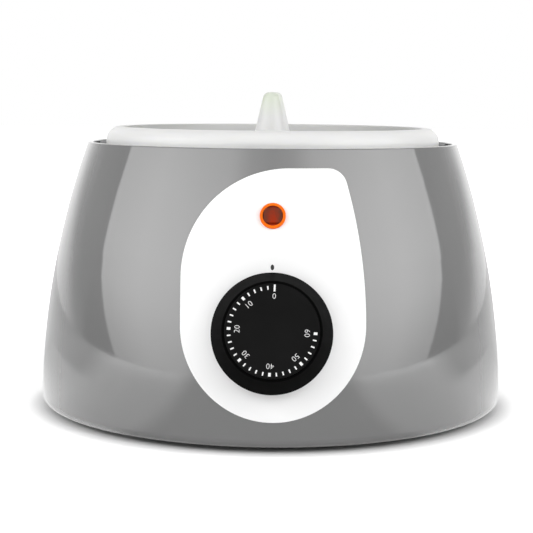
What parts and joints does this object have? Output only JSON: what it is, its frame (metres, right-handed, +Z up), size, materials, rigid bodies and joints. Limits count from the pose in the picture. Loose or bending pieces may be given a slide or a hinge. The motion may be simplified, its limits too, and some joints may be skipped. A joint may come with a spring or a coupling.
{
  "type": "chocolate melter",
  "caption": "Round table-top chocolate melter: moulded casing with a thermostat dial and pilot lamp, a dry heating well, a lift-out bowl and a lid with a moulded grip.",
  "frame": {"origin": "on the casing's axis, on the surface that the feet stand on", "axes": "+Z up along the casing's axis; the dial faces -Y and the cable gland points along +Y"},
  "size_m": [0.24, 0.2827, 0.1622],
  "materials": {
    "casing_plastic": "glossy",
    "label_film": "satin",
    "black_plastic": "satin",
    "orange_lens": "glossy",
    "red_lens": "glossy",
    "dark_plastic": "matte",
    "rubber": "matte",
    "steel": "satin",
    "bowl_steel": "satin",
    "aluminium": "satin",
    "brass": "satin",
    "copper": "satin",
    "lid_plastic": "satin, lets some light through",
    "silicone": "matte",
    "insulation": "fibrous",
    "white_plastic": "matte",
    "brown_lead": "satin",
    "blue_lead": "satin",
    "earth_green": "satin"
  },
  "bodies": {
    "casing_unit": {"casing": "casing_plastic", "front_label": "label_film", "thermostat_body": "black_plastic", "cable_gland": "black_plastic", "gland_nut": "black_plastic", "gland_locknut": "black_plastic", "pilot_lamp_bezel": "orange_lens", "pilot_lamp_core": "red_lens", "base_plate": "dark_plastic", "rubber_feet": "rubber", "gland_seal": "rubber", "base_screws": "steel", "foot_screws": "steel", "thermostat_plate": "steel", "thermostat_screws": "steel", "pilot_lamp_clip": "steel", "well_nuts": "steel", "heater_clamp_plate": "steel", "heater_clamp_nut": "steel", "cutout_nuts": "steel", "bulb_clip": "steel", "heating_well": "aluminium", "terminal_screws": "brass", "capillary_tube": "copper", "sensing_bulb": "copper", "thermostat_capsule": "copper", "heater_mat": "silicone", "well_gasket": "silicone", "insulation_disc": "insulation", "insulation_wrap": "insulation", "terminal_block": "white_plastic", "thermal_cutout": "white_plastic", "live_lead": "brown_lead", "switched_lead": "brown_lead", "heater_lead": "brown_lead", "lamp_live_lead": "brown_lead", "neutral_lead": "blue_lead", "lamp_neutral_lead": "blue_lead", "earth_lead": "earth_green"},
    "knob": {"control_knob": "black_plastic", "knob_clip": "steel", "thermostat_spindle": "steel"},
    "bowl_unit": {"bowl": "bowl_steel"},
    "lid_unit": {"lid": "lid_plastic"}
  },
  "joints": [
    {"name": "knob_turn", "type": "hinge", "parent": "casing_unit", "child": "knob", "pos_m": [0, -0.11613, 0.0544], "axis": [0, 0.9724, -0.2334], "range_deg": [0, 270]},
    {"name": "bowl_lift", "type": "slide", "parent": "casing_unit", "child": "bowl_unit", "axis": [0, 0, 1], "range_m": [0, 0.12]},
    {"name": "lid_lift", "type": "slide", "parent": "bowl_unit", "child": "lid_unit", "axis": [0, 0, 1], "range_m": [0, 0.06]}
  ]
}
